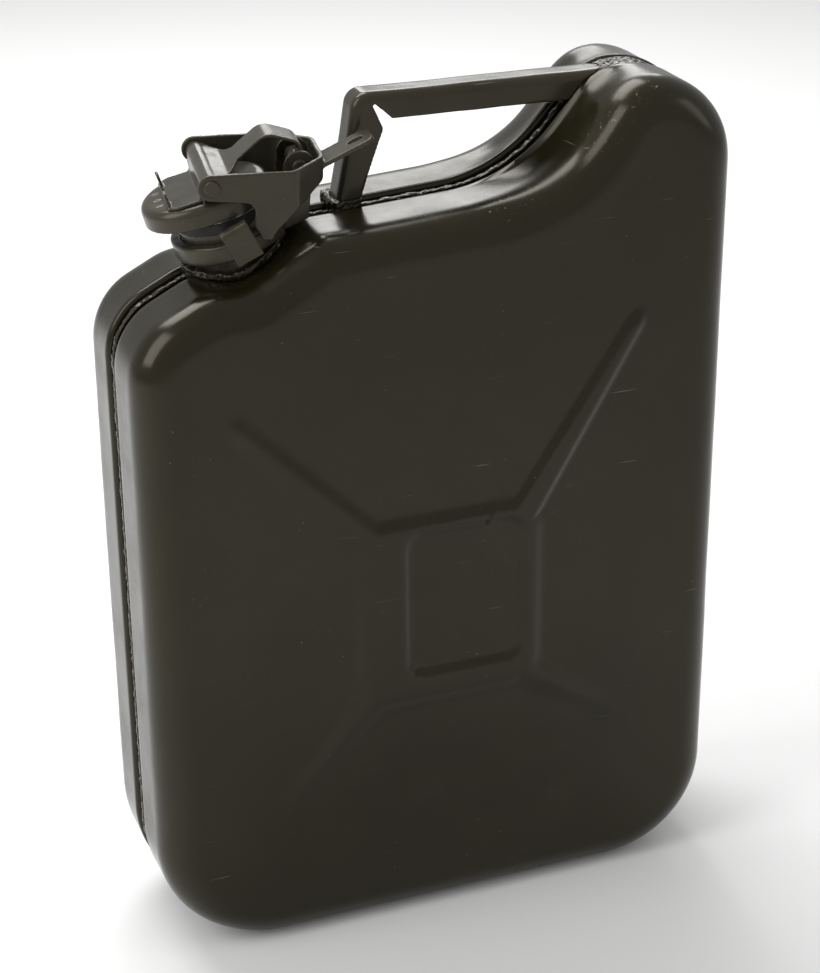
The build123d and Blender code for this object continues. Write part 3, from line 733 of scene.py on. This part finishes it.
def buildHalf(name, node, side):
    outline = outlinePoints(tankShape["around"])
    rings = grooveRings(outline, side) + sideRings(outline, side)
    rings += faceRings(rings[-1], side)
    bpy.ops.object.select_all(action="DESELECT")
    bpy.ops.mesh.primitive_circle_add(vertices=len(outline), radius=0.1, fill_type="NOTHING")
    half = bpy.context.object
    half.name = name
    bpy.ops.object.mode_set(mode="EDIT")
    mesh = bmesh.from_edit_mesh(half.data)
    place = mesh.verts.layers.int.new("place")
    for index, vertex in enumerate(mesh.verts):
        vertex[place] = index
        vertex.co = rings[0][index]
    for ringPlaces in rings[1:]:
        bpy.ops.mesh.extrude_edges_move()
        mesh = bmesh.from_edit_mesh(half.data)
        place = mesh.verts.layers.int["place"]
        for vertex in mesh.verts:
            if vertex.select:
                vertex.co = ringPlaces[vertex[place]]
    bpy.ops.mesh.edge_face_add()  # closes the middle of the face
    bpy.ops.mesh.select_all(action="SELECT")
    mesh = bmesh.from_edit_mesh(half.data)
    mesh.normal_update()
    mesh.faces.ensure_lookup_table()
    if mesh.faces[-1].normal.y * side < 0:
        bpy.ops.mesh.flip_normals()
    bpy.ops.object.mode_set(mode="OBJECT")
    applyModifier(half, "SOLIDIFY", thickness=tankShape["sheet"], offset=-1)
    openNeck(half)
    pick(half)
    bpy.ops.object.shade_smooth_by_angle(angle=math.radians(tankShape["creaseAngle"]))
    markWear(half)
    markChips(half)
    settle(half, "tank", "tank_paint", tankEnamel, node)


neckHole = {"radius": 24.9 * mm, "length": 60 * mm, "sides": 96}


def openNeck(half):
    # the sheet is cut away inside the neck tube
    place = neckMiddle - neckAxis * neckHole["length"] / 2
    bpy.ops.object.select_all(action="DESELECT")
    bpy.ops.mesh.primitive_cylinder_add(
        vertices=neckHole["sides"],
        radius=neckHole["radius"],
        depth=neckHole["length"],
        location=place,
        rotation=neckAxis.to_track_quat("Z", "Y").to_euler(),
    )
    cutter = bpy.context.object
    applyModifier(half, "BOOLEAN", operation="DIFFERENCE", object=cutter, solver="FAST")
    bpy.data.objects.remove(cutter)


def markWear(piece):
    # how sharply each point stands out, kept as the attribute that the enamel's worn edges read
    mesh = bmesh.new()
    mesh.from_mesh(piece.data)
    mesh.normal_update()
    values = []
    for vertex in mesh.verts:
        total = 0.0
        for edge in vertex.link_edges:
            away = vertex.co - edge.other_vert(vertex).co
            total += vertex.normal.dot(away) / max(away.length, 1e-7)
        values.append(max(total / max(len(vertex.link_edges), 1), 0.0))
    mesh.free()
    wear = piece.data.attributes.new("wear", "FLOAT", "POINT")
    wear.data.foreach_set("value", values)


# chips gather along the fillet where the saddle climbs to the hump
chipSet = {
    "spots": ((38 * mm, 432 * mm), (86 * mm, 470 * mm), (112 * mm, 484 * mm)),
    "reach": 26 * mm,
    "bandFromFace": 11 * mm,
    "bandHalf": 10 * mm,
}


def markChips(piece):
    values = []
    spots = [Vector(spot) for spot in chipSet["spots"]]
    for vertex in piece.data.vertices:
        flat = Vector((vertex.co.x, vertex.co.z))
        near = max(smoothStep(1 - (flat - spot).length / chipSet["reach"]) for spot in spots)
        offBand = abs(abs(vertex.co.y) - tankShape["halfDepth"] + chipSet["bandFromFace"])
        values.append(near * smoothStep(1 - offBand / chipSet["bandHalf"]))
    chips = piece.data.attributes.new("chips", "FLOAT", "POINT")
    chips.data.foreach_set("value", values)


buildHalf("frontHalf", "front_shell", -1)
buildHalf("rearHalf", "rear_shell", 1)
print("both halves of the tank are pressed")


def reworked(node, name, voxel, rounds, shape=None):
    # a copy of the node, made one fine skin, its edges eased, then shaped where asked
    pick(cadNodes[node])
    bpy.ops.object.duplicate()
    piece = bpy.context.object
    piece.name = name
    for key in list(piece.keys()):
        del piece[key]
    piece.parent = None
    bpy.ops.object.mode_set(mode="EDIT")
    bpy.ops.mesh.select_all(action="SELECT")
    bpy.ops.mesh.remove_doubles(threshold=1e-6)
    bpy.ops.object.mode_set(mode="OBJECT")
    applyModifier(piece, "REMESH", mode="VOXEL", voxel_size=voxel, use_smooth_shade=True)
    applyModifier(piece, "SMOOTH", factor=0.5, iterations=rounds)
    if shape:
        outwards = [vertex.normal.copy() for vertex in piece.data.vertices]
        for vertex, outward in zip(piece.data.vertices, outwards):
            vertex.co = shape(vertex.co.copy(), outward)
    markWear(piece)
    return piece


raggedSet = {"share": 0.6, "finer": 0.38, "shift": (7, 3, 1)}


def wrinkled(amount, length, ragged=False):
    # a shape function that moves the skin in and out by noise, with a finer layer where it is ragged
    def move(point, outward):
        value = noise.noise(point / length)
        if ragged:
            fineSpot = point / (length * raggedSet["finer"]) + Vector(raggedSet["shift"])
            value = raggedSet["share"] * value + raggedSet["share"] * noise.noise(fineSpot)
        return point + outward * amount * value
    return move


# name, voxel, smoothing rounds, height and length of the ripples
weldSet = {
    "seam_weld": ("seamBead", 0.85 * mm, 1, 1.0 * mm, 5.0 * mm),
    "neck_weld": ("neckBead", 0.75 * mm, 1, 1.5 * mm, 5.5 * mm),
    "handle_front_weld": ("handleFrontBead", 0.6 * mm, 2, 1.0 * mm, 4.5 * mm),
    "handle_rear_weld": ("handleRearBead", 0.6 * mm, 2, 0.9 * mm, 4.5 * mm),
}
for node, (name, voxel, rounds, amount, length) in weldSet.items():
    bead = reworked(node, name, voxel, rounds, wrinkled(amount, length, ragged=True))
    settle(bead, "tank", "weld_paint", weldEnamel, node)
print("weld beads are laid")

handleSet = {"voxel": 0.8 * mm, "rounds": 4, "dent": 0.5 * mm, "dentLength": 34 * mm}
handleDents = wrinkled(handleSet["dent"], handleSet["dentLength"])
grip = reworked("handle", "gripHandle", handleSet["voxel"], handleSet["rounds"], handleDents)
settle(grip, "tank", "handle_paint", handleEnamel, "handle")
print("the handle is folded")


collarSet = {
    "voxel": 0.6 * mm,
    "rounds": 2,
    "wave": 0.7 * mm,
    "waveTurns": 2.2,
    "waveShift": 4,
    "waveLow": 9 * mm,  # above the middle of the neck's bore
    "waveFade": 8 * mm,
    "hammer": 0.25 * mm,
    "hammerLength": 9 * mm,
}


def collarShape(point, outward):
    # the upper rim waves, the skin has shallow hammer marks
    place = neckPlace(point)
    turn = math.atan2(place.y, place.x)
    turns = collarSet["waveTurns"]
    top = smoothStep((place.z - collarSet["waveLow"]) / collarSet["waveFade"])
    wave = noise.noise(Vector((math.cos(turn) * turns, math.sin(turn) * turns, collarSet["waveShift"])))
    mark = noise.noise(point / collarSet["hammerLength"])
    return point + neckAxis * wave * collarSet["wave"] * top + outward * mark * collarSet["hammer"]


mouthRing = reworked("mouth_collar", "mouthRing", collarSet["voxel"], collarSet["rounds"], collarShape)
settle(mouthRing, "tank", "closure_paint", closureEnamel, "mouth_collar")

throatSet = {"voxel": 0.6 * mm, "rounds": 1}
throat = reworked("neck_tube", "throatTube", throatSet["voxel"], throatSet["rounds"])
settle(throat, "tank", "closure_paint", closureEnamel, "neck_tube")

hookSet = {"voxel": 0.4 * mm, "rounds": 3, "dent": 0.25 * mm, "dentLength": 8 * mm}
hookDents = wrinkled(hookSet["dent"], hookSet["dentLength"])
for node, name in (("front_latch_hook", "frontHook"), ("rear_latch_hook", "rearHook")):
    hook = reworked(node, name, hookSet["voxel"], hookSet["rounds"], hookDents)
    settle(hook, "tank", "closure_paint", closureEnamel, node)

earSet = {"voxel": 0.42 * mm, "rounds": 2}
ears = reworked("hinge_bracket", "hingeEars", earSet["voxel"], earSet["rounds"])
settle(ears, "tank", "closure_paint", closureEnamel, "hinge_bracket")
print("neck, collar, hooks and ears are done")


rivetSet = {
    "pitch": 1.25 * mm,
    "depth": 0.22 * mm,
    "voxel": 0.28 * mm,
    "rounds": 2,
    "ridge": 0.75,  # where the hatching starts to sink, as a share of its pattern's height
    "facing": 0.8,  # only skin that faces along the pin is hatched
    "hingeGrip": 13.2 * mm,  # the hinge pin's heads start this far from its middle
    "leverGrip": 33 * mm,
}


def hatchedHead(spot, halfGrip):
    # diamond hatching on the flat ends of a pin
    def move(point, outward):
        place = point - spot
        if abs(place.dot(acrossAxis)) < halfGrip or abs(outward.dot(acrossAxis)) < rivetSet["facing"]:
            return point
        first = place.dot(leverRun + neckAxis) / rivetSet["pitch"]
        second = place.dot(leverRun - neckAxis) / rivetSet["pitch"]
        groove = max(abs(math.sin(first * math.pi / 2)), abs(math.sin(second * math.pi / 2)))
        sunk = smoothStep((groove - rivetSet["ridge"]) / (1 - rivetSet["ridge"]))
        return point - outward * rivetSet["depth"] * sunk
    return move


for node, name, body, headShape in (
    ("hinge_pin", "hingeRivet", "tank", hatchedHead(hingeSpot, rivetSet["hingeGrip"])),
    ("lever_pin", "leverRivet", "lever", hatchedHead(leverSpot, rivetSet["leverGrip"])),
):
    rivet = reworked(node, name, rivetSet["voxel"], rivetSet["rounds"], headShape)
    settle(rivet, body, "pin_steel", closureEnamel, node)


capSet = {
    "voxel": 0.5 * mm,
    "rounds": 3,
    "dent": 0.3 * mm,
    "dentLength": 14 * mm,
    "marks": (-9 * mm, 0.0, 9 * mm),  # the stake marks' places across the cap
    "markOut": -31 * mm,
    "markHigh": 0.7 * mm,
    "markRadius": 1.6 * mm,
    "markStretch": 2.2,
    "facing": 0.5,  # only skin that faces up the neck is marked
}


def cupShape(point, outward):
    # three stake marks in front of the strap, and shallow dents
    place = neckPlace(point)
    moved = point + outward * noise.noise(point / capSet["dentLength"]) * capSet["dent"]
    for across in capSet["marks"]:
        away = math.hypot((place.x - capSet["markOut"]) / capSet["markStretch"], place.y - across)
        if outward.dot(neckAxis) > capSet["facing"]:
            moved += neckAxis * capSet["markHigh"] * smoothStep(1 - away / capSet["markRadius"])
    return moved


cup = reworked("cap_cup", "capCup", capSet["voxel"], capSet["rounds"], cupShape)
settle(cup, "cap", "closure_paint", closureEnamel, "cap_cup")


strapSet = {
    "voxel": 0.5 * mm,
    "rounds": 3,
    "dent": 0.2 * mm,
    "dentLength": 12 * mm,
    "curl": 0.010,  # a horn leans by this many mm, times its height in mm squared
    "plateHigh": 43.5 * mm,  # the horns' feet, above the middle of the neck's bore
    "hornOut": -24.0 * mm,
}


def strapShape(point, outward):
    # the two horns curl forward
    place = neckPlace(point)
    moved = point + outward * noise.noise(point / strapSet["dentLength"]) * strapSet["dent"]
    high = place.z - strapSet["plateHigh"]
    if place.x < strapSet["hornOut"] and high > 0:
        moved -= leverRun * strapSet["curl"] * (high / mm) ** 2 * mm
    return moved


strap = reworked("cap_strap", "springStrap", strapSet["voxel"], strapSet["rounds"], strapShape)
settle(strap, "cap", "closure_paint", closureEnamel, "cap_strap")

leverSet = {"voxel": 0.55 * mm, "rounds": 3, "dent": 0.22 * mm, "dentLength": 11 * mm}
leverDents = wrinkled(leverSet["dent"], leverSet["dentLength"])
leverArm = reworked("lever", "lockingLever", leverSet["voxel"], leverSet["rounds"], leverDents)
settle(leverArm, "lever", "closure_paint", closureEnamel, "lever")
print("cap, strap and lever are done")

# nodes whose plain shape is right keep their mesh
for node, finish in (
    ("cap_gasket", rubber),
    ("gasket_carrier", plated),
    ("gasket_retainer", plated),
    ("retainer_rivet", plated),
    ("breather_tube", plated),
    ("breather_clip", plated),
):
    cadNodes[node].data.materials.clear()
    cadNodes[node].data.materials.append(finish)
print("inner pieces have their finishes")
